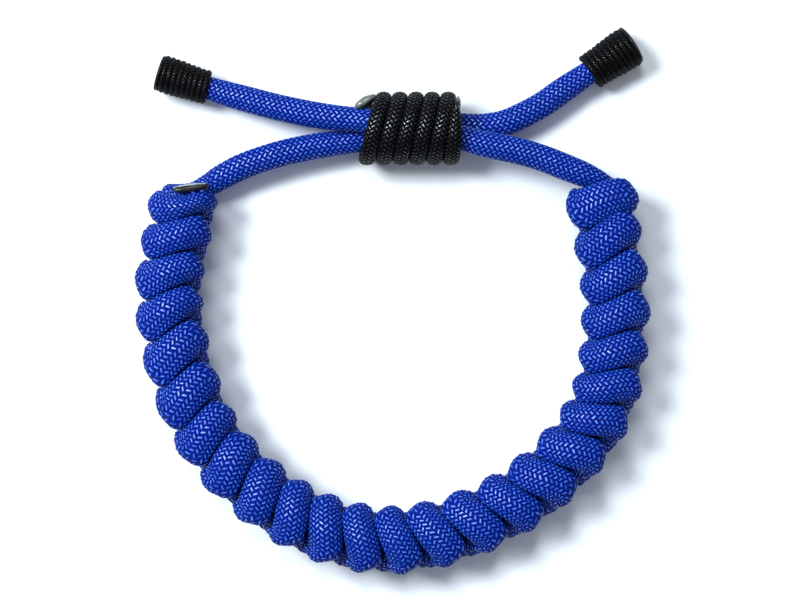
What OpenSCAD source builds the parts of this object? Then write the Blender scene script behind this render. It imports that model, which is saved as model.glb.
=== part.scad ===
// Adjustable rope bracelet, lying flat: a sennit tied from two blue braided cords, bent into an
// open ring, and a sliding knot of black cord round its two draw cords.
// Millimetres, +Z up. The surface it lies on is z = 0. Travel along the sennit is counter-clockwise
// from its upper left end, seen from above.

/* [Cord] */
// Diameter of the blue cord where it runs free
cord_d = 4; // [3.8:0.05:4]
// Sides of a cord's mesh
cord_sides = 10; // [8:1:12]

/* [Sennit] */
// Half the height of the sennit
sennit_rise = 6; // [6:0.05:6.2]
// Roll of the sennit about its own middle line, its top outward at the left, inward from the front on
sennit_roll = 6; // [0:1:8]
// How much narrower the turns of strand a get at the side where strand b shows, as a share of the pitch
end_narrow = 0.12; // [0.08:0.01:0.13]
// How far strand a's turns hang back there and strand b's run on, as a share of the pitch
end_drift = 0.09; // [0.06:0.01:0.1]
// How much further out the turns of strand b reach there, as a share of strand a's
show_reach = 0.2; // [0.1:0.01:0.2]
// How far the turns of strand b, on the underside, reach to the sides, as a share of strand a's
under_share = 0.74; // [0.72:0.01:0.78]
// Thickness of strand b's turns, as a share of strand a's
under_thick = 0.88; // [0.84:0.01:0.9]

/* [Sliding knot] */
// Distance between two turns
knot_pitch = 2.58; // [2.56:0.01:2.64]
// Width of a turn, along the knot
knot_cord_w = 2.48; // [2.2:0.02:2.5]
// Thickness of a turn
knot_cord_t = 1.7; // [1.5:0.05:1.75]
// Half the width of the knot's middle line, across the draw cords
knot_half_w = 4.8; // [4.8:0.05:5]
// Half the height of the knot's middle line
knot_half_h = 5.1; // [5.1:0.05:5.3]

/* [Whippings] */
// Number of turns of fine cord on each tail
whip_turns = 9; // [6:1:11]
// Length of a whipping
whip_l = 8.6; // [8.4:0.1:9]
// Thickness of the end that closes a whipping
whip_cap = 0.9; // [0.6:0.1:1.2]

/* [Hidden] */
blue = "#0a2cc8";
black = "#141416";
grey = "#6f7376";
// Moves the middle of the object's box to x = 0, y = 0, and its lowest point to the surface
to_origin = [0.17, -0.16, -0.06];
// Number of wraps that show on top of the sennit, and of turns of the sliding knot
wraps = 25;
knot_turns = 6;

// Middle line of the sennit, one point for every third wrap: x, y
sennit_path = [
    [-32.1, 15.1],
    [-34.2, -1.5],
    [-28.7, -20.2],
    [-15.6, -32.8],
    [0.6, -36.9],
    [18.1, -31.2],
    [30.9, -18.4],
    [34.2, -2.4],
    [32.1, 15.4]];
wraps_per_point = 3;
// How much the slant of the wraps eases at each of these points, in pitches
slant_ease = [0, 0.05, 0.3, 0.24, 0.12, 0.08, 0.12, 0.16, 0.12];
// How much strand b shows at each of these points, below 0 at the inner side, above 0 at the outer
show_side = [-0.5, -0.45, 0.15, 0.85, 1, 1, 0.9, 0.45, 0.35];

// One turn of a strand round the sennit: forward in pitches, outward, up, half width as a share of
// the pitch, half thickness
turn = [
    [0.03, -3.85, 1.88, 0.43, 1.5],
    [-0.04, -2.9, 3.4, 0.475, 1.45],
    [0.22, 0, 4.4, 0.48, 1.6],
    [0.48, 2.9, 3.4, 0.475, 1.45],
    [0.41, 3.85, 1.88, 0.43, 1.5],
    [0.45, 3.5, 0.76, 0.175, 1.04],
    [0.54, 2.6, -0.14, 0.175, 1.04],
    [0.73, 0, -0.3, 0.182, 1.1],
    [0.92, -2.6, -0.14, 0.175, 1.04],
    [0.98, -3.5, 0.76, 0.175, 1.04]];
steps = len(turn);
// The first wrap makes room for the melted end, and the last one hooks round the draw cord: what is
// added to the first five rows of the table above
first_wrap = [
    [0.1, 0, 0, -0.1, 0],
    [0.18, 0, 0, -0.14, 0],
    [0.2, 0, 0, -0.16, 0],
    [0, 0, 0, 0, 0],
    [0, 0, 0, 0, 0]];
last_wrap = [
    [0.05, -0.3, 0, 0.01, 0],
    [0.05, -0.2, 0, 0.03, 0],
    [-0.04, 0, -0.3, 0, 0],
    [-0.16, 0.25, 0, 0.02, 0],
    [-0.18, 0.3, 0, 0, 0]];

// Start of strand a, from its melted end down into the sennit: x, y, z, half width, half thickness
a_start = [
    [-30.8, 16.7, 9.8, 2.5, 0.7],
    [-30.8, 16.8, 8.6, 2.2, 0.85],
    [-30.5, 16.9, 7.2, 1.7, 1],
    [-29.7, 16.9, 6.3, 1.25, 1.1]];

// Strand a as draw cord, then on top through the knot, then as the left tail: x, y, z,
// share of the free cord's radius
a_free = [
    [33.4, 17.6, 5.9, 0.6],
    [31.5, 18.3, 6.7, 0.8],
    [29.1, 19.3, 7.1, 0.95],
    [26.3, 20.4, 7.1, 1],
    [23.3, 21.6, 7.1, 1],
    [20.1, 22.6, 7.1, 1],
    [16.9, 23.3, 7.2, 1],
    [13.6, 24, 7.3, 0.975],
    [10.2, 24.9, 7.35, 0.925],
    [6.4, 25.3, 7.7, 0.925],
    [2.4, 26.2, 7.9, 0.925],
    [-1.6, 27, 7.7, 0.925],
    [-5.3, 27.6, 7.4, 0.925],
    [-9.2, 28, 7, 0.975],
    [-13.8, 28.8, 6.2, 1],
    [-18.5, 29.9, 5.2, 1],
    [-23.2, 31.2, 4.2, 1],
    [-26.6, 32.2, 3.68, 0.935],
    [-29.6, 33.1, 3.6, 0.875],
    [-32.1, 33.9, 3.75, 0.875],
    [-35.2, 34.85, 3.9, 0.875]];

// Strand b as draw cord, from the left end of the sennit, below strand a through the knot, then as
// the right tail: x, y, z, share of the free cord's radius
b_free = [
    [-33.9, 16.3, 5.5, 0.575],
    [-34.7, 16.7, 4.3, 0.625],
    [-33.3, 16.6, 3.4, 0.7],
    [-31, 16.8, 3.2, 0.75],
    [-28.6, 17.9, 3.2, 0.875],
    [-26.4, 19.1, 4.2, 0.975],
    [-23.1, 20.7, 4.9, 1],
    [-18.4, 22.3, 5.1, 1],
    [-13.8, 23.4, 4.9, 1],
    [-9.2, 24.2, 4.7, 0.975],
    [-5.3, 24.7, 4.6, 0.925],
    [-1.6, 25.3, 4.2, 0.925],
    [2.4, 26.1, 4, 0.925],
    [6.4, 26.7, 4.1, 0.925],
    [10.2, 27, 4.3, 0.925],
    [13.6, 26.8, 4.5, 0.975],
    [16.9, 27.3, 4.3, 1],
    [20, 28.6, 4, 1],
    [23.1, 30.3, 3.7, 1],
    [26.1, 32.4, 3.5, 1],
    [29, 34.4, 3.5, 0.925],
    [31.5, 36, 3.5, 0.875],
    [33.7, 37.4, 3.5, 0.875],
    [36.2, 39, 3.5, 0.875]];

// Middle of the sliding knot across the draw cords: y, z
knot_mid = [26.4, 5.95];
// Where its turns come over the far side of the draw cords, and how much of a pitch they drift on
// their way over the top
knot_x = 11.0;
top_drift = 0.85;
// How much closer together they lie on the far side, in millimetres
far_lean = 0.1;
// Where the black cord starts and stops, in degrees of its winding, and where its start lies
knot_first = 66;
knot_last = -28;
knot_first_x = 9.75;

// Round middle line through the rows of a table, with its ends run on straight
function blend(p, a, b, c, f) = 0.5 * (2 * a + (b - p) * f + (2 * p - 5 * a + 4 * b - c) * f * f
    + (3 * a - p - 3 * b + c) * f * f * f);
function row_or_more(t, i) =
    i < 0 ? 2 * t[0] - t[1]
    : i >= len(t) ? 2 * t[len(t) - 1] - t[len(t) - 2]
    : t[i];
function along(t, u) =
    u <= 0 ? t[0] + u * (t[1] - t[0])
    : u >= len(t) - 1 ? t[len(t) - 1] + (u - len(t) + 1) * (t[len(t) - 1] - t[len(t) - 2])
    : let (i = floor(u))
      blend(row_or_more(t, i - 1), t[i], t[i + 1], row_or_more(t, i + 2), u - i);
function unit(v) = v / norm(v);
function ease(x) = let (c = min(1, max(0, x))) c * c * (3 - 2 * c);

// Place of a point of the sennit from its forward (f), outward (v) and up (w) distances
function middle(f) = along(sennit_path, f / wraps_per_point);
function heading(f) = unit(middle(f + 0.05) - middle(f - 0.05));
function roll_share(f) = 0.5 - 1.5 * ease((f - 2) / 8);
function roll_at(f) = sennit_roll * roll_share(f);
// 1 at the side of the sennit where strand b shows most, 0 where it doesn't
function shows(f, v) = abs(v) > 2 ? max(0, along(show_side, f / wraps_per_point) * sign(v)) : 0;
function eased(f, v) = f - along(slant_ease, f / wraps_per_point) * v / 9;
function placed(f, v, w) =
    let (m = middle(f), t = heading(f), r = roll_at(f))
    let (o = v * cos(r) + w * sin(r), h = w * cos(r) - v * sin(r))
    [m[0] + t[1] * o, m[1] - t[0] * o, h + sennit_rise];

// One station of a strand: centre, width vector, half thickness. Strand b is strand a upside down,
// half a pitch further on.
function turn_row(j) = turn[(j + steps * 4) % steps] + [floor(j / steps), 0, 0, 0, 0];
function fitted_row(j, strand_b) =
    turn_row(j) + (strand_b ? [0, 0, 0, 0, 0]
    : j >= 0 && j <= 4 ? first_wrap[j]
    : j >= (wraps - 1) * steps && j <= (wraps - 1) * steps + 4 ? last_wrap[j - (wraps - 1) * steps]
    : [0, 0, 0, 0, 0]);
function sennit_station(j, strand_b) =
    let (q = fitted_row(j, strand_b))
    let (f0 = q[0] - turn[2][0] + (strand_b ? 0.5 : 0))
    let (show = shows(f0, q[1]), far = abs(q[1]) > 3 ? 1 : 0.5)
    let (v = strand_b ? q[1] * (under_share + show_reach * show * show) : q[1])
    let (w = strand_b ? -q[2] : q[2])
    let (f = eased(f0 + (strand_b ? 1 : -1) * end_drift * show * far * sign(v), v))
    let (half = strand_b || w < 1 ? q[3] : q[3] - end_narrow * show * far)
    let (s = (placed(f + 0.05, v, w) - placed(f - 0.05, v, w)) / 0.1)
    [placed(f, v, w), s * half, strand_b ? q[4] * under_thick : q[4], true];
function free_station(p) = let (r = p[3] * cord_d / 2) [[p[0], p[1], p[2]], [0, 0, r], r, false];
function flat_station(p) = [[p[0], p[1], p[2]], [p[3], 0, 0], p[4], false];

// Swept solid through stations
function centre_line(st) = [for (s = st) s[0]];
function tangents(c) = [for (i = [0:len(c) - 1])
    unit(c[min(i + 1, len(c) - 1)] - c[max(i - 1, 0)])];
function carried(u, t) = unit(u - (u * t) * t);
function ring(c, t, u, wide, thick, in_sennit, n) =
    let (side = cross(t, u))
    let (wp = wide - (wide * t) * t)
    let (wd = unit(wp), nd = cross(t, wd), a = in_sennit ? norm(wp) : norm(wide))
    [for (k = [0:n - 1])
        let (d = u * cos(360 * k / n) + side * sin(360 * k / n))
        c + wd * (d * wd) * a + nd * (d * nd) * thick];
function skin(st, n, u0) =
    let (c = centre_line(st), t = tangents(c), m = len(c))
    let (us = [for (i = 0, u = carried(u0, t[0]); i < m; i = i + 1,
        u = i < m ? carried(u, t[i]) : u) u])
    [for (i = [0:m - 1]) ring(c[i], t[i], us[i], st[i][1], st[i][2], st[i][3], n)];
module tube(st, n, u0) {
    rings = skin(st, n, u0);
    m = len(rings);
    points = [for (r = rings) each r];
    start = [for (k = [0:n - 1]) k];
    finish = [for (k = [0:n - 1]) (m - 1) * n + n - 1 - k];
    walls = [for (i = [0:m - 2], k = [0:n - 1])
        let (a = i * n + k, b = i * n + (k + 1) % n)
        each [[a, b + n, b], [a, a + n, b + n]]];
    polyhedron(points = points, faces = concat([start], walls, [finish]), convexity = 20);
}

// Strand a: from its melted end through the wraps on top, the knot and the left tail
module strand_a() {
    inside = [for (j = [-2:(wraps - 1) * steps + 6]) sennit_station(j, false)];
    first = [for (p = a_start) flat_station(p)];
    last = [for (p = a_free) free_station(p)];
    color(blue)
        translate(to_origin)
            tube(concat(first, inside, last), cord_sides, [1, 0, 0]);
}

// Strand b: from its hidden end at the right through the wraps of the underside, backwards to the
// left end, then the knot and the right tail
module strand_b() {
    last_step = (wraps - 2) * steps + 7;
    inside = [for (j = [last_step:-1:-3]) sennit_station(j, true)];
    last = [for (p = b_free) free_station(p)];
    color(blue)
        translate(to_origin)
            tube(concat(inside, last), cord_sides, [0, 0, 1]);
}

// Station of the knot's cord: a is its winding in degrees from the far side, over the top first
function knot_at(a) = let (k = floor(a / 360), r = a - 360 * k)
    knot_x - knot_pitch * (k + top_drift * ease(min(r, 180) / 180)
        + (1 - top_drift) * ease((max(r, 180) - 180) / 180))
        + far_lean * max(0, a / 360 - 1) * (1 + cos(a)) / 2;
function knot_start_at(a) = let (c = (a - knot_first) / (180 - knot_first))
    knot_first_x + (knot_at(180) - knot_first_x) * c;
function knot_station(a) =
    let (x = a < 180 ? knot_start_at(a) : knot_at(a))
    let (full = (0.45 + 0.55 * ease((a - knot_first) / 70)) * (1 - 0.015 * (1 + cos(a))))
    [[x, knot_mid[0] + knot_half_w * cos(a), knot_mid[1] + knot_half_h * sin(a)],
        [full * knot_cord_w / 2, 0, 0], knot_cord_t / 2, false];

// Sliding knot: black cord wound round the two draw cords
module slide_knot() {
    last = 360 * knot_turns + knot_last;
    count = 13 * knot_turns;
    st = [for (i = [0:count]) knot_station(knot_first + (last - knot_first) * i / count)];
    color(black)
        translate(to_origin)
            tube(st, 8, [1, 0, 0]);
}

// Melted end: a flat bead, seen edge-on from above
module bead(size, at, turn_z, lift) {
    translate(at + to_origin)
        rotate([0, 0, turn_z])
            rotate([lift, 0, 0])
                scale([size[0] / 2, size[1] / 2, size[2] / 2])
                    sphere(r = 1, $fn = 14);
}

module knot_end_left() {
    color(grey)
        bead([3.7, 1.8, 1.3], [-4.6, 30.5, 8.2], 28, 0);
}

module knot_end_right() {
    color(grey)
        bead([0.8, 3.0, 1.6], [9.9, 29.95, 9.3], 0, -42);
}

module melted_end() {
    color(grey)
        bead([5.7, 1.3, 0.9], [-30.8, 17.05, 10.75], 7, -20);
}

// Whipping: fine cord wound round the end of a tail, closed by its melted end
module whipping(at, turn_z, lift, r_near, r_far) {
    bore_r = cord_d / 2 - 0.08;
    pitch = whip_l / whip_turns;
    slope = (r_far - r_near) / whip_l;
    bead_r = pitch / 2;
    translate(at + to_origin)
        rotate([0, 0, turn_z])
            rotate([0, 90 - lift, 0])
                difference() {
                    rotate_extrude($fn = 40)
                        union() {
                            polygon([[0, 0], [r_near - bead_r, 0], [r_far - bead_r, whip_l], [0, whip_l]]);
                            intersection() {
                                square([r_far + 1, whip_l]);
                                for (i = [0:whip_turns - 1])
                                    translate([r_near + slope * pitch * (i + 0.5) - bead_r, pitch * (i + 0.5)])
                                        circle(r = bead_r, $fn = 16);
                            }
                        }
                    translate([0, 0, -1])
                        cylinder(r = bore_r, h = whip_l - whip_cap + 1, $fn = 40);
                }
}

module end_whipping_left() {
    color(black)
        whipping([-28.5, 32.77, 3.55], 162.6, 3, 2.65, 2.9);
}

module end_whipping_right() {
    color(black)
        whipping([30.1, 35.1, 3.5], 33, 0, 2.9, 3.3);
}

strand_a();
strand_b();
slide_knot();
knot_end_left();
knot_end_right();
end_whipping_left();
end_whipping_right();
melted_end();
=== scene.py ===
import bmesh
import bpy
import math
import numpy as np
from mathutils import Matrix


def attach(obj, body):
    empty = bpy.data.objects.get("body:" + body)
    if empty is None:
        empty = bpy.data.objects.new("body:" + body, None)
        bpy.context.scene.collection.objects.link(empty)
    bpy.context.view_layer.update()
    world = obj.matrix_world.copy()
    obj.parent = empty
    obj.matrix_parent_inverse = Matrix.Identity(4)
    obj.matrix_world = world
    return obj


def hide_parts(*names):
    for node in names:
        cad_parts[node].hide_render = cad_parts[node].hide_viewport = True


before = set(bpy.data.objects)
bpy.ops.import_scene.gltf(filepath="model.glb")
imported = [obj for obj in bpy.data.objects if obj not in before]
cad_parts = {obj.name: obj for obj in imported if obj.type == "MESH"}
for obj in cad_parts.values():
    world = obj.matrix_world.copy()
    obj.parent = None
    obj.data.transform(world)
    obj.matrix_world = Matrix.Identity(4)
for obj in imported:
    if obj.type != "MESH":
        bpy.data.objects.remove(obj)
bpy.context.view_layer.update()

# Camera, paper and light. The bracelet lies on white paper and is seen from straight above, through
# a lens 340 mm away: 6.5 pixels for each millimetre at half the height of the sennit. One lamp stands
# at the upper left and one high at the far side. A wide ceiling lamp and the pale room fill the
# shadows.
MM = 0.001
TO_ORIGIN = np.array([0.17, -0.16, -0.06])
PIXELS_WIDE, PIXELS_PER_MM = 800, 6.5
LENS_AWAY, HALF_HEIGHT = 0.34, 0.006
picture_width = PIXELS_WIDE / PIXELS_PER_MM * MM
camera_data = bpy.data.cameras.new("camera")
camera_data.sensor_width = 36
camera_data.lens = camera_data.sensor_width * LENS_AWAY / picture_width
camera_data.clip_start = 0.01
camera_data.dof.use_dof = False
camera = bpy.data.objects.new("camera", camera_data)
camera.location = (1.17 * MM, -0.16 * MM, LENS_AWAY + HALF_HEIGHT)
bpy.context.collection.objects.link(camera)
bpy.context.scene.camera = camera
bpy.context.scene.view_settings.view_transform = "Standard"


def new_material(name, colour, roughness):
    """A material with one Principled shader, its nodes and its links"""
    material = bpy.data.materials.new(name)
    material.use_nodes = True
    nodes, links = material.node_tree.nodes, material.node_tree.links
    shader = nodes["Principled BSDF"]
    shader.inputs["Base Color"].default_value = (*colour, 1)
    shader.inputs["Roughness"].default_value = roughness
    return material, nodes, links, shader


paper_mesh = bpy.data.meshes.new("paper")
bm = bmesh.new()
bmesh.ops.create_grid(bm, x_segments=1, y_segments=1, size=1.5)
bmesh.ops.translate(bm, verts=bm.verts, vec=(0, 0, -0.0001))
bm.to_mesh(paper_mesh)
bm.free()
paper = bpy.data.objects.new("paper", paper_mesh)
bpy.context.collection.objects.link(paper)
paper_material = new_material("white_paper", (0.86, 0.87, 0.89), 0.9)[0]
paper_mesh.materials.append(paper_material)

room = bpy.data.worlds.new("room")
room.use_nodes = True
room.node_tree.nodes["Background"].inputs["Color"].default_value = (0.80, 0.88, 1.0, 1)
room.node_tree.nodes["Background"].inputs["Strength"].default_value = 0.17
bpy.context.scene.world = room


def lamp(name, place, size, watts, colour):
    """A square lamp that faces the bracelet"""
    data = bpy.data.lights.new(name, "AREA")
    data.shape = "SQUARE"
    data.size = size
    data.energy = watts
    data.color = colour
    light = bpy.data.objects.new(name, data)
    light.location = place
    aim = np.array(place)
    flat = math.hypot(aim[0], aim[1])
    light.rotation_euler = (math.atan2(flat, aim[2]), 0, math.atan2(aim[0], -aim[1]))
    bpy.context.collection.objects.link(light)


lamp("window_lamp", (-0.34, 0.16, 0.52), 0.2, 5.0, (0.88, 0.96, 1.0))
lamp("ceiling_lamp", (0, 0, 1.1), 1.4, 3.8, (0.82, 0.89, 1.0))
lamp("far_lamp", (-0.10, 0.52, 1.0), 0.35, 4.6, (0.88, 0.96, 1.0))

# Blue cords: two braided nylon cords 4 mm across, each a sleeve of fine yarns. They go round each
# other 25 times and make the sennit. The free ends of both close the ring, pass through the
# sliding knot, strand a above strand b, and end as the two tails.
SENNIT_PATH = [(-32.1, 15.1), (-34.2, -1.5), (-28.7, -20.2), (-15.6, -32.8), (0.6, -36.9),
               (18.1, -31.2), (30.9, -18.4), (34.2, -2.4), (32.1, 15.4)]
# One turn: forward in pitches, outward, up, half width as a share of the pitch, half thickness
TURN = [(0.03, -3.85, 1.88, 0.43, 1.5), (-0.04, -2.9, 3.4, 0.475, 1.45), (0.22, 0, 4.4, 0.48, 1.6),
        (0.48, 2.9, 3.4, 0.475, 1.45), (0.41, 3.85, 1.88, 0.43, 1.5), (0.45, 3.5, 0.76, 0.175, 1.04),
        (0.54, 2.6, -0.14, 0.175, 1.04), (0.73, 0, -0.3, 0.182, 1.1), (0.92, -2.6, -0.14, 0.175, 1.04),
        (0.98, -3.5, 0.76, 0.175, 1.04)]
# What the first and the last wrap of strand a add to the first five rows
FIRST_WRAP = [(0.1, 0, 0, -0.1, 0), (0.18, 0, 0, -0.14, 0), (0.2, 0, 0, -0.16, 0), (0, 0, 0, 0, 0),
              (0, 0, 0, 0, 0)]
LAST_WRAP = [(0.05, -0.3, 0, 0.01, 0), (0.05, -0.2, 0, 0.03, 0), (-0.04, 0, -0.3, 0, 0),
             (-0.16, 0.25, 0, 0.02, 0), (-0.18, 0.3, 0, 0, 0)]
WRAPS = 25
SENNIT_RISE = 6
SENNIT_ROLL = 6
# Where strand b shows at a side, it reaches further out and strand a's ends are narrower. The side
# is the inner one below zero and the outer one above, a row for each point of the path.
END_NARROW, END_DRIFT, SHOW_REACH = 0.12, 0.09, 0.2
SHOW_SIDE = [(-0.5,), (-0.45,), (0.15,), (0.85,), (1,), (1,), (0.9,), (0.45,), (0.35,)]
SLANT_EASE = [(0,), (0.05,), (0.3,), (0.24,), (0.12,), (0.08,), (0.12,), (0.16,), (0.12,)]
UNDER_SHARE, UNDER_THICK = 0.74, 0.88
# The passes inside are a little fuller than the solids', which keep a gap
PASS_FULLER = 1.15
FULLNESS = -0.07
CLOSER_WEAVE = 0.28
# x, y, z, half width, half thickness
A_START = [(-30.8, 17, 11.3, 2.5, 0.5), (-30.8, 16.8, 9.8, 2.5, 0.7), (-30.8, 16.8, 8.6, 2.2, 0.85),
           (-30.5, 16.9, 7.2, 1.7, 1), (-29.7, 16.9, 6.3, 1.25, 1.1)]
# x, y, z, radius
A_FREE = [(33.4, 17.6, 5.9, 1.2), (31.5, 18.3, 6.7, 1.6), (29.1, 19.3, 7.1, 1.9), (26.3, 20.4, 7.1, 2),
          (23.3, 21.6, 7.1, 2), (20.1, 22.6, 7.1, 2), (16.9, 23.3, 7.2, 2), (13.6, 24, 7.3, 1.95),
          (10.2, 24.9, 7.35, 1.85), (6.4, 25.3, 7.7, 1.85), (2.4, 26.2, 7.9, 1.85), (-1.6, 27, 7.7, 1.85),
          (-5.3, 27.6, 7.4, 1.85), (-9.2, 28, 7, 1.95), (-13.8, 28.8, 6.2, 2), (-18.5, 29.9, 5.2, 2),
          (-23.2, 31.2, 4.2, 2), (-26.6, 32.2, 3.68, 1.87), (-29.6, 33.1, 3.6, 1.75),
          (-32.1, 33.9, 3.75, 1.75), (-35.2, 34.85, 3.9, 1.75)]
B_FREE = [(-33.9, 16.3, 5.5, 1.15), (-34.7, 16.7, 4.3, 1.25), (-33.3, 16.6, 3.4, 1.4), (-31, 16.8, 3.2, 1.5),
          (-28.6, 17.9, 3.2, 1.75), (-26.4, 19.1, 4.2, 1.95), (-23.1, 20.7, 4.9, 2), (-18.4, 22.3, 5.1, 2),
          (-13.8, 23.4, 4.9, 2), (-9.2, 24.2, 4.7, 1.95), (-5.3, 24.7, 4.6, 1.85), (-1.6, 25.3, 4.2, 1.85),
          (2.4, 26.1, 4, 1.85), (6.4, 26.7, 4.1, 1.85), (10.2, 27, 4.3, 1.85), (13.6, 26.8, 4.5, 1.95),
          (16.9, 27.3, 4.3, 2), (20, 28.6, 4, 2), (23.1, 30.3, 3.7, 2), (26.1, 32.4, 3.5, 2),
          (29, 34.4, 3.5, 1.85), (31.5, 36, 3.5, 1.75), (33.7, 37.4, 3.5, 1.75), (36.2, 39, 3.5, 1.75)]


def through(table, u):
    """Values on smooth curves through the rows of a table, at rows u, straight beyond its ends"""
    rows = np.array(table, float)
    rows = np.vstack([2 * rows[0] - rows[1], rows, 2 * rows[-1] - rows[-2]])
    u = np.asarray(u, float)
    at = np.clip(np.floor(u).astype(int), 0, len(rows) - 4)
    f = np.clip(u - at, 0, 1)[..., None]
    p, a, b, c = (rows[at + k] for k in range(4))
    value = 0.5 * (2 * a + (b - p) * f + (2 * p - 5 * a + 4 * b - c) * f ** 2
                   + (3 * a - p - 3 * b + c) * f ** 3)
    over = (u - at - f[..., 0])[..., None]
    return value + over * np.where(over < 0, a - p, c - b)


def ease(x):
    x = np.clip(x, 0, 1)
    return x * x * (3 - 2 * x)


def unit(v):
    return v / np.linalg.norm(v, axis=-1, keepdims=True)


def roll_share(f):
    return 0.5 - 1.5 * ease((f - 2) / 8)


def sennit_point(f, outward, up):
    """A point of the sennit, from its place along the middle line, outward and up"""
    middle = through(SENNIT_PATH, f / 3)
    heading = unit(through(SENNIT_PATH, (f + 0.05) / 3) - through(SENNIT_PATH, (f - 0.05) / 3))
    roll = math.radians(SENNIT_ROLL) * roll_share(f)
    o = outward * math.cos(roll) + up * math.sin(roll)
    h = up * math.cos(roll) - outward * math.sin(roll)
    return np.array([middle[0] + heading[1] * o, middle[1] - heading[0] * o, h + SENNIT_RISE])


def sennit_station(j, strand_b):
    """Centre, width vector and half thickness of a cord at row j of its turns"""
    turn = np.array(TURN[j % 10]) + [j // 10, 0, 0, 0, 0]
    if not strand_b and 0 <= j <= 4:
        turn += FIRST_WRAP[j]
    if not strand_b and 0 <= j - (WRAPS - 1) * 10 <= 4:
        turn += LAST_WRAP[j - (WRAPS - 1) * 10]
    f = turn[0] - TURN[2][0] + 0.5 * strand_b
    side = np.sign(turn[1])
    show = max(0, float(through(SHOW_SIDE, f / 3)[0]) * side) if abs(turn[1]) > 2 else 0
    far = 1 if abs(turn[1]) > 3 else 0.5
    if j % 10 > 4:
        turn[3:] *= PASS_FULLER
    outward, up, half = turn[1], turn[2], turn[3]
    f += (1 if strand_b else -1) * END_DRIFT * show * far * side
    if strand_b:
        outward, up = outward * (UNDER_SHARE + SHOW_REACH * show * show), -up
    elif up >= 1:
        half -= END_NARROW * show * far
    f -= float(through(SLANT_EASE, f / 3)[0]) * outward / 9
    along = (sennit_point(f + 0.05, outward, up) - sennit_point(f - 0.05, outward, up)) / 0.1
    thick = turn[4] * UNDER_THICK if strand_b else turn[4]
    return [*sennit_point(f, outward, up), *(along * half), thick, 1, j % 10]


def carried_frame(centres, start):
    """Tangents of a line, and a side direction carried along it without any twist"""
    tangents = unit(np.gradient(centres, axis=0))
    sides = np.empty_like(centres)
    side = np.array(start, float)
    for i, t in enumerate(tangents):
        side = unit(side - side.dot(t) * t)
        sides[i] = side
    return tangents, sides


def sleeve(name, sides, rows, surface, weave):
    """Closed skin: a grid bent round a cord by surface(row, side), welded along its seam and capped
    at its two ends. weave(row, side) gives its UV map, in yarn columns and stitches."""
    mesh = bpy.data.meshes.new(name)
    bm = bmesh.new()
    bmesh.ops.create_grid(bm, x_segments=sides, y_segments=rows, size=0.5, calc_uvs=True)
    bm.to_mesh(mesh)
    bm.free()
    spots = np.empty(len(mesh.vertices) * 3, np.float32)
    mesh.vertices.foreach_get("co", spots)
    spots = spots.reshape(-1, 3)
    side = np.rint((spots[:, 0] + 0.5) * sides).astype(int)
    row = np.rint((spots[:, 1] + 0.5) * rows).astype(int)
    corners = np.empty(len(mesh.loops), np.int32)
    mesh.loops.foreach_get("vertex_index", corners)
    uv_map = mesh.uv_layers.active or mesh.uv_layers.new()
    uv_map.name = "weave"
    uv_map.data.foreach_set("uv", weave(row, side)[corners].astype(np.float32).ravel())
    mesh.vertices.foreach_set("co", surface(row, side % sides).astype(np.float32).ravel())
    bm = bmesh.new()
    bm.from_mesh(mesh)
    seam = [v for v in bm.verts if side[v.index] in (0, sides)]
    bmesh.ops.remove_doubles(bm, verts=seam, dist=1e-7)
    bmesh.ops.holes_fill(bm, edges=[e for e in bm.edges if e.is_boundary], sides=0)
    for face in bm.faces:
        face.smooth = True
    if bm.calc_volume(signed=True) < 0:
        bmesh.ops.reverse_faces(bm, faces=bm.faces)
    bm.to_mesh(mesh)
    bm.free()
    piece = bpy.data.objects.new(name, mesh)
    bpy.context.collection.objects.link(piece)
    return piece


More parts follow.
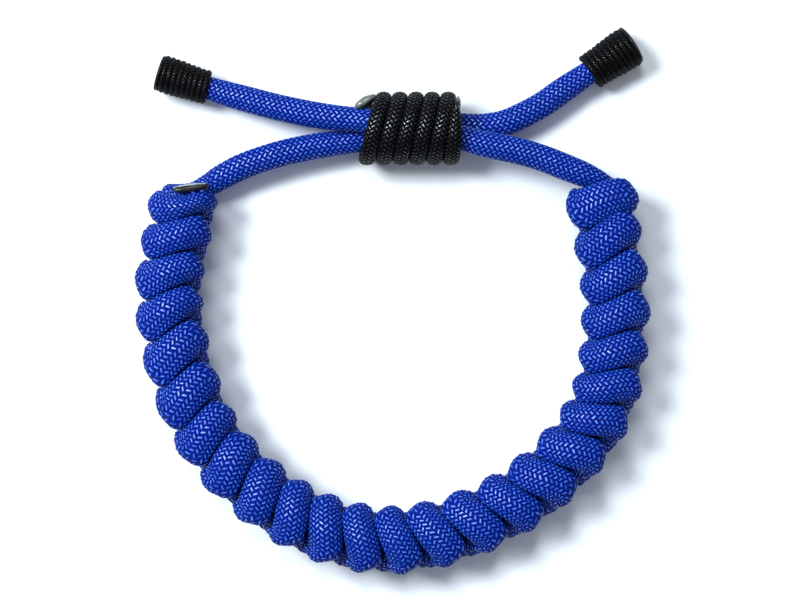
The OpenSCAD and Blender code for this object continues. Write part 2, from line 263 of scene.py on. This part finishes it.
def woven_cord(name, stations, start_side, columns, per_column, per_stitch, stitch, slant, relief):
    """A braided cord through stations of x, y, z, width vector, half thickness, 1 inside the sennit
    and the place in its turn. Columns of stitches slant to the left and to the right by turns."""
    fine = np.linspace(0, len(stations) - 1, (len(stations) - 1) * 30 + 1)
    channel = through(stations, fine)
    centres, wide, thick, inside, phase = (channel[:, :3], channel[:, 3:6], channel[:, 6], channel[:, 7],
                                           np.array(stations)[np.floor(fine).astype(int), 8])
    tangents, carried = carried_frame(centres, start_side)
    across = np.cross(tangents, carried)
    crossing = wide - (wide * tangents).sum(1, keepdims=True) * tangents
    half = np.where(inside > 0.5, np.linalg.norm(crossing, axis=1), np.linalg.norm(wide, axis=1))
    flat = unit(crossing)
    deep = np.cross(tangents, flat)
    # The weave closes up where the cord winds tightly, so that its outer side isn't stretched
    step = np.linalg.norm(np.diff(centres, axis=0), axis=1)
    step *= 1 + CLOSER_WEAVE * np.clip(inside[1:], 0, 1)
    run = np.concatenate([[0], np.cumsum(step)]) / stitch
    lines = np.column_stack([centres, carried, across, flat, deep, half, thick, np.clip(inside, 0, 1)])
    # Rows of the mesh lie along the stitches, and are sparser where the cord passes inside
    ticks = np.arange(per_stitch, int(run[-1] * per_stitch) - per_stitch)
    where = phase[np.clip(np.searchsorted(run, ticks / per_stitch), 0, len(phase) - 1)]
    ticks = ticks[((where < 5) | (where > 8)) | (ticks % (2 * per_stitch) == 0)] / per_stitch
    sides = columns * per_column

    def place(row, side):
        column, inner = side // per_column, (side % per_column) / per_column
        v = ticks[row] + slant * np.where(column % 2 == 0, inner, 1 - inner) - slant / 2
        at = [np.interp(v, run, line) for line in lines.T]
        c, u, s, w, d = (np.column_stack(at[3 * k:3 * k + 3]) for k in range(5))
        angle = 2 * math.pi * side / sides
        out = u * np.cos(angle)[:, None] + s * np.sin(angle)[:, None]
        a, b = at[15], at[16]
        x, y = (out * w).sum(1), (out * d).sum(1)
        full = 1 + at[17] * FULLNESS * (2 * x * y) ** 2
        normal = unit(w * (x / a)[:, None] + d * (y / b)[:, None])
        x, y = x * full, y * full
        crown = np.cos(2 * math.pi * (ticks[row] + 0.5 * (column % 2)))
        lift = relief * ((1 + crown) * (1 - (2 * inner - 1) ** 4) - 1)
        return (c + w * (x * a)[:, None] + d * (y * b)[:, None] + normal * lift[:, None] + TO_ORIGIN) * MM

    def weave(row, side):
        return np.column_stack([side / per_column, ticks[row]])

    return sleeve(name, sides, len(ticks) - 1, place, weave)


def free_rows(table):
    return [[x, y, z, 0, 0, r, r, 0, 0] for x, y, z, r in table]


strand_a_rows = [[x, y, z, a, 0, 0, b, 0, 0] for x, y, z, a, b in A_START]
strand_a_rows += [sennit_station(j, False) for j in range(-2, (WRAPS - 1) * 10 + 7)]
strand_a_rows += free_rows(A_FREE)
strand_b_rows = [sennit_station(j, True) for j in range((WRAPS - 2) * 10 + 7, -4, -1)]
strand_b_rows += free_rows(B_FREE)
# columns, sides of a column, rows of a stitch, stitch length, slant, relief
BLUE_WEAVE = 20, 3, 2, 0.86, 0.55, 0.055
strand_a = woven_cord("strand_a_cord", strand_a_rows, (1, 0, 0), *BLUE_WEAVE)
strand_b = woven_cord("strand_b_cord", strand_b_rows, (0, 0, 1), *BLUE_WEAVE)


class Nodes:
    """Short ways to lay out a material's nodes"""

    def __init__(self, nodes, links):
        self.nodes, self.links = nodes, links

    def put(self, kind, inputs=(), **values):
        node = self.nodes.new(kind)
        for key, value in values.items():
            setattr(node, key, value)
        for key, value in dict(inputs).items():
            if isinstance(value, bpy.types.NodeSocket):
                self.links.new(value, node.inputs[key])
            else:
                node.inputs[key].default_value = value
        return node

    def math(self, operation, a, b=0.0, c=0.0):
        return self.put("ShaderNodeMath", {0: a, 1: b, 2: c}, operation=operation).outputs[0]

    def span(self, value, low, high, to_low=0.0, to_high=1.0):
        """value from low to high, brought smoothly to to_low to to_high"""
        node = self.put("ShaderNodeMapRange", {"Value": value, "From Min": low, "From Max": high,
                                               "To Min": to_low, "To Max": to_high})
        node.interpolation_type = "SMOOTHSTEP"
        return node.outputs["Result"]

    def mix(self, factor, a, b):
        node = self.put("ShaderNodeMix", {"Factor": factor}, data_type="RGBA")
        for socket, value in ((node.inputs[6], a), (node.inputs[7], b)):
            if isinstance(value, bpy.types.NodeSocket):
                self.links.new(value, socket)
            else:
                socket.default_value = (*value, 1)
        return node.outputs[2]


def braid_material(name, gap, body, painted_highlight_colour, roughness, depth, fine=1.0, glint=1.0):
    """Braided nylon: stitches from the weave UV map, painted shade between them and a painted highlight on
    their crowns
    """
    material, nodes, links, shader = new_material(name, body, 0.6)
    n = Nodes(nodes, links)
    uv = n.put("ShaderNodeUVMap", uv_map="weave").outputs["UV"]
    split = n.put("ShaderNodeSeparateXYZ", {0: uv})
    u, v = split.outputs[0], split.outputs[1]
    column = n.math("FLOOR", u)
    half = n.math("MULTIPLY", n.math("MODULO", column, 2.0), 0.5)
    across = n.math("SUBTRACT", n.math("FRACT", u), 0.5)
    shifted = n.math("ADD", n.math("ADD", v, half), 0.5)
    along = n.math("SUBTRACT", n.math("FRACT", shifted), 0.5)
    cell = n.put("ShaderNodeCombineXYZ", {0: column, 1: n.math("FLOOR", shifted)}).outputs[0]
    chance = n.put("ShaderNodeTexWhiteNoise", {"Vector": cell}, noise_dimensions="2D").outputs["Value"]
    off_x = n.math("ABSOLUTE", across)
    off_y = n.math("ABSOLUTE", along)
    stitch = n.math("MULTIPLY", n.span(off_y, 0.5, 0.3), n.span(off_x, 0.5, 0.36))
    streak = n.math("MULTIPLY", n.span(off_y, 0.16 * fine, 0.06 * fine), n.span(off_x, 0.40, 0.26))
    streak = n.math("MULTIPLY", streak, n.span(chance, 0.0, 0.9, 0.35, 1.0))
    # Painted shade: the gap colour darkens the cloth between the stitches
    cloth = n.mix(stitch, gap, body)
    # Painted highlight: streaks on the stitches' crowns, their strength varying at random, take a brighter
    # colour; the same streaks also carry the real glossy coat
    colour = n.mix(streak, cloth, painted_highlight_colour)
    links.new(colour, shader.inputs["Base Color"])
    links.new(n.math("MULTIPLY", streak, glint), shader.inputs["Coat Weight"])
    # Fine yarn lines run along each stitch
    lines = n.math("MULTIPLY", n.math("COSINE", n.math("MULTIPLY", along, 32.0)), 0.06)
    round_y = n.math("SUBTRACT", 1.0, n.math("POWER", n.math("MULTIPLY", off_y, 2.0), 2.0))
    round_x = n.math("SUBTRACT", 1.0, n.math("POWER", n.math("MULTIPLY", off_x, 2.0), 4.0))
    height = n.math("ADD", n.math("MULTIPLY", round_y, round_x), lines)
    bump = n.put("ShaderNodeBump", {"Height": height, "Strength": 1.0, "Distance": depth * MM})
    links.new(bump.outputs["Normal"], shader.inputs["Normal"])
    shader.inputs["Specular IOR Level"].default_value = 0.06
    shader.inputs["Coat Roughness"].default_value = roughness
    shader.inputs["Coat IOR"].default_value = 2.8
    return material


# Painted shade between the stitches in the gap colour, and a painted highlight in a brighter blue on their
# crowns
blue_braid = braid_material("blue_braid", gap=(0.0, 0.001, 0.09), body=(0.0002, 0.020, 0.28),
                            painted_highlight_colour=(0.016, 0.18, 0.82), roughness=0.55, depth=0.10)
for strand, node in ((strand_a, "strand_a"), (strand_b, "strand_b")):
    strand.data.materials.append(blue_braid)
    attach(strand, "root")
    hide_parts(node)

# Sliding knot: black braided cord wound six times round the two draw cords, its turns pressed side
# by side. It grips by friction, and slides along the cords to size the bracelet.
KNOT_MID = (26.4, 5.95)
KNOT_X = 11.0
KNOT_PITCH = 2.58
TOP_DRIFT = 0.85
FAR_LEAN = 0.1
KNOT_FIRST, KNOT_END, KNOT_FIRST_X = 54, 360 * 6 - 28, 9.5
KNOT_WIDE, KNOT_THICK = 2.48, 1.7


def knot_row(a):
    """Station of the black cord, a in degrees of its winding, from the far side over the top"""
    def x_at(angle):
        turn, rest = divmod(angle, 360)
        lean = FAR_LEAN * max(0, angle / 360 - 1) * (1 + math.cos(math.radians(angle))) / 2
        return lean + KNOT_X - KNOT_PITCH * (turn + TOP_DRIFT * ease(min(rest, 180) / 180)
                                             + (1 - TOP_DRIFT) * ease((max(rest, 180) - 180) / 180))
    first_half = (a - KNOT_FIRST) / (180 - KNOT_FIRST)
    x = KNOT_FIRST_X + (x_at(180) - KNOT_FIRST_X) * first_half if a < 180 else x_at(a)
    turn = math.radians(a)
    full = (0.6 + 0.4 * ease((a - KNOT_FIRST) / 70)) * (1 - 0.015 * (1 + math.cos(turn)))
    return [x, KNOT_MID[0] + 4.8 * math.cos(turn), KNOT_MID[1] + 5.1 * math.sin(turn),
            full * KNOT_WIDE / 2, 0, 0, KNOT_THICK / 2, 0, 0]


knot_rows = [knot_row(a) for a in np.linspace(KNOT_FIRST, KNOT_END, 157)]
KNOT_WEAVE = 12, 4, 2, 0.66, 0.6, 0.04
slide_knot = woven_cord("slide_knot_cord", knot_rows, (1, 0, 0), *KNOT_WEAVE)
# Painted shade between the stitches, and a faint painted grey highlight on their crowns
black_braid = braid_material("black_braid", gap=(0.0003, 0.0003, 0.0005), body=(0.0007, 0.0009, 0.0016),
                             painted_highlight_colour=(0.004, 0.0045, 0.005), roughness=0.42, depth=0.08,
                             fine=0.8, glint=0.85)
slide_knot.data.materials.append(black_braid)
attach(slide_knot, "root")
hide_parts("slide_knot")

# Whippings: fine black cord wound nine times round the end of each tail, sealed by melting the
# end, which leaves a rounded black button with a raised rim.
WHIP_TURNS = 9
WHIP_STEPS = 18
WHIP_LONG = 8.3
WHIP_HALF_WIDE, WHIP_HALF_THICK, WHIP_SUNK = 0.47, 0.46, 0.42
WHIP_WEAVE = 8, 3, 2, 0.42, 0.6, 0.03


def whip_axes(turn_z, lift):
    """Direction of a tail's end, the level direction across it, and the one upward"""
    z, l = math.radians(turn_z), math.radians(lift)
    axis = np.array([math.cos(l) * math.cos(z), math.cos(l) * math.sin(z), math.sin(l)])
    level = np.array([-math.sin(z), math.cos(z), 0])
    return axis, level, np.cross(axis, level)


def whipping(name, at, turn_z, lift, near, far):
    """Coil of fine cord from near to far radius, with a little unevenness from turn to turn"""
    axis, level, upward = whip_axes(turn_z, lift)
    rows = []
    for k in range(WHIP_TURNS * WHIP_STEPS + 1):
        angle = 2 * math.pi * k / WHIP_STEPS
        s = WHIP_SUNK + (WHIP_LONG - 2 * WHIP_SUNK) * k / (WHIP_TURNS * WHIP_STEPS)
        uneven = 0.05 * math.sin(angle * 0.37 + 1) * math.sin(angle * 0.23)
        out = near + (far - near) * ease(s / WHIP_LONG) - WHIP_SUNK + uneven
        c = np.array(at) + axis * s + (level * math.cos(angle) + upward * math.sin(angle)) * out
        rows.append([*c, *(axis * WHIP_HALF_WIDE), WHIP_HALF_THICK, 0, 0])
    return woven_cord(name, rows, axis, *WHIP_WEAVE)


def melted(name, size, at, axes, dish=0.0, wobble=0.03):
    """Bead of melted nylon, its size along three axes. dish sinks the middle of the face that looks
    along the third axis. Its UV map holds the place across the first two."""
    mesh = bpy.data.meshes.new(name)
    bm = bmesh.new()
    bmesh.ops.create_uvsphere(bm, u_segments=64, v_segments=32, radius=1)
    uv = bm.loops.layers.uv.new("weave")
    for face in bm.faces:
        face.smooth = True
        for loop in face.loops:
            loop[uv].uv = (loop.vert.co.x / 2 + 0.5, loop.vert.co.y / 2 + 0.5)
    for v in bm.verts:
        x, y, z = v.co
        angle = math.atan2(y, x)
        swell = 1 + wobble * (math.sin(3 * angle + 1) + math.sin(5 * angle + z * 3) * 0.7
                              + math.sin(7 * x + 4 * z) * 0.4)
        z -= dish * max(0, z) * (1 - x * x - y * y) * 1.6
        local = [x * size[0] / 2 * swell, y * size[1] / 2 * swell, z * size[2] / 2]
        spot = np.array(at) + sum(np.array(a) * c for a, c in zip(axes, local)) + TO_ORIGIN
        v.co = spot * MM
    if bm.calc_volume(signed=True) < 0:
        bmesh.ops.reverse_faces(bm, faces=bm.faces)
    bm.to_mesh(mesh)
    bm.free()
    piece = bpy.data.objects.new(name, mesh)
    bpy.context.collection.objects.link(piece)
    return piece


def melt_material(name, dark, pale, low, high, roughness, coat=0.8):
    """Melted nylon, glossy and smooth: dark below, with a painted pale reflection on its upper part, where
    it turns to the light
    """
    material, nodes, links, shader = new_material(name, dark, roughness)
    n = Nodes(nodes, links)
    uv = n.put("ShaderNodeUVMap", uv_map="weave").outputs["UV"]
    across = n.put("ShaderNodeSeparateXYZ", {0: uv}).outputs[1]
    noise = n.put("ShaderNodeTexNoise", {"Vector": uv, "Scale": 9.0, "Detail": 3.0}).outputs["Fac"]
    edge = n.math("MULTIPLY_ADD", noise, 0.35, n.math("SUBTRACT", across, 0.17))
    # Painted reflection: dark blends to pale along the UV map's second axis, with a noisy boundary
    colour = n.mix(n.span(edge, low, high), dark, pale)
    links.new(colour, shader.inputs["Base Color"])
    bump = n.put("ShaderNodeBump", {"Height": noise, "Strength": 0.6, "Distance": 0.25 * MM})
    links.new(bump.outputs["Normal"], shader.inputs["Normal"])
    shader.inputs["Specular IOR Level"].default_value = 0.15
    shader.inputs["Coat Weight"].default_value = coat
    shader.inputs["Coat Roughness"].default_value = 0.12
    return material


# Painted shade between the stitches, and a faint painted highlight on their crowns
whip_braid = braid_material("whip_braid", gap=(0.0003, 0.0003, 0.0005), body=(0.0005, 0.0006, 0.0010),
                            painted_highlight_colour=(0.002, 0.0022, 0.0025), roughness=0.38, depth=0.06,
                            fine=0.8, glint=0.45)
# Painted reflection: a barely paler upper part on the black buttons
black_melt = melt_material("black_melt", dark=(0.0008, 0.0008, 0.001), pale=(0.002, 0.002, 0.0025),
                           low=0.5, high=0.9, roughness=0.6, coat=0.2)
for side, at, turn_z, lift, near, far, dish in (
        ("left", (-28.5, 32.77, 3.55), 162.6, 3, 2.65, 2.9, 0.5),
        ("right", (30.1, 35.1, 3.5), 33, 0, 2.9, 3.3, 0.15)):
    node = "end_whipping_" + side
    coil = whipping(node + "_coil", at, turn_z, lift, near, far)
    coil.data.materials.append(whip_braid)
    axis, level, upward = whip_axes(turn_z, lift)
    middle = np.array(at) + axis * 8.0
    button_size = (far * 2 - 0.3, far * 2 - 0.3, 1.5)
    button = melted(node + "_button", button_size, middle, (level, upward, axis), dish, 0.02)
    button.data.materials.append(black_melt)
    for piece in (coil, button):
        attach(piece, "root")
        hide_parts(node)

# Melted ends: the start of strand a, cut and melted flat against the first band, and the two ends of the
# black cord, which peep out glossy from below the sliding knot. Each is dark, with a painted pale reflection
# on its upper part.


def turned(turn_z, lift):
    """Three axes, turned about the upright one after a lift about the first"""
    z, l = math.radians(turn_z), math.radians(lift)
    first = (math.cos(z), math.sin(z), 0)
    second = (-math.sin(z) * math.cos(l), math.cos(z) * math.cos(l), math.sin(l))
    return first, second, tuple(np.cross(first, second))


# Painted reflection: the melted end is pale grey on its upper part and black below
blue_melt = melt_material("blue_melt", dark=(0.002, 0.002, 0.003), pale=(0.34, 0.37, 0.36),
                          low=0.64, high=0.72, roughness=0.4, coat=0.3)
# Painted reflection: the black knot ends are pale grey on their upper part
grey_melt = melt_material("grey_melt", dark=(0.004, 0.004, 0.004), pale=(0.12, 0.135, 0.12),
                          low=0.30, high=0.60, roughness=0.3)
for name, size, at, turn_z, lift, material in (
        ("melted_end", (5.7, 1.3, 0.9), (-30.8, 17.05, 10.75), 7, -20, blue_melt),
        ("knot_end_left", (3.7, 1.7, 1.3), (-4.3, 30.25, 8.2), 32, 0, grey_melt),
        ("knot_end_right", (0.8, 3.0, 1.6), (9.9, 29.95, 9.3), 0, -42, grey_melt)):
    piece = melted(name + "_bead", size, at, turned(turn_z, lift))
    piece.data.materials.append(material)
    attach(piece, "root")
    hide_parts(name)
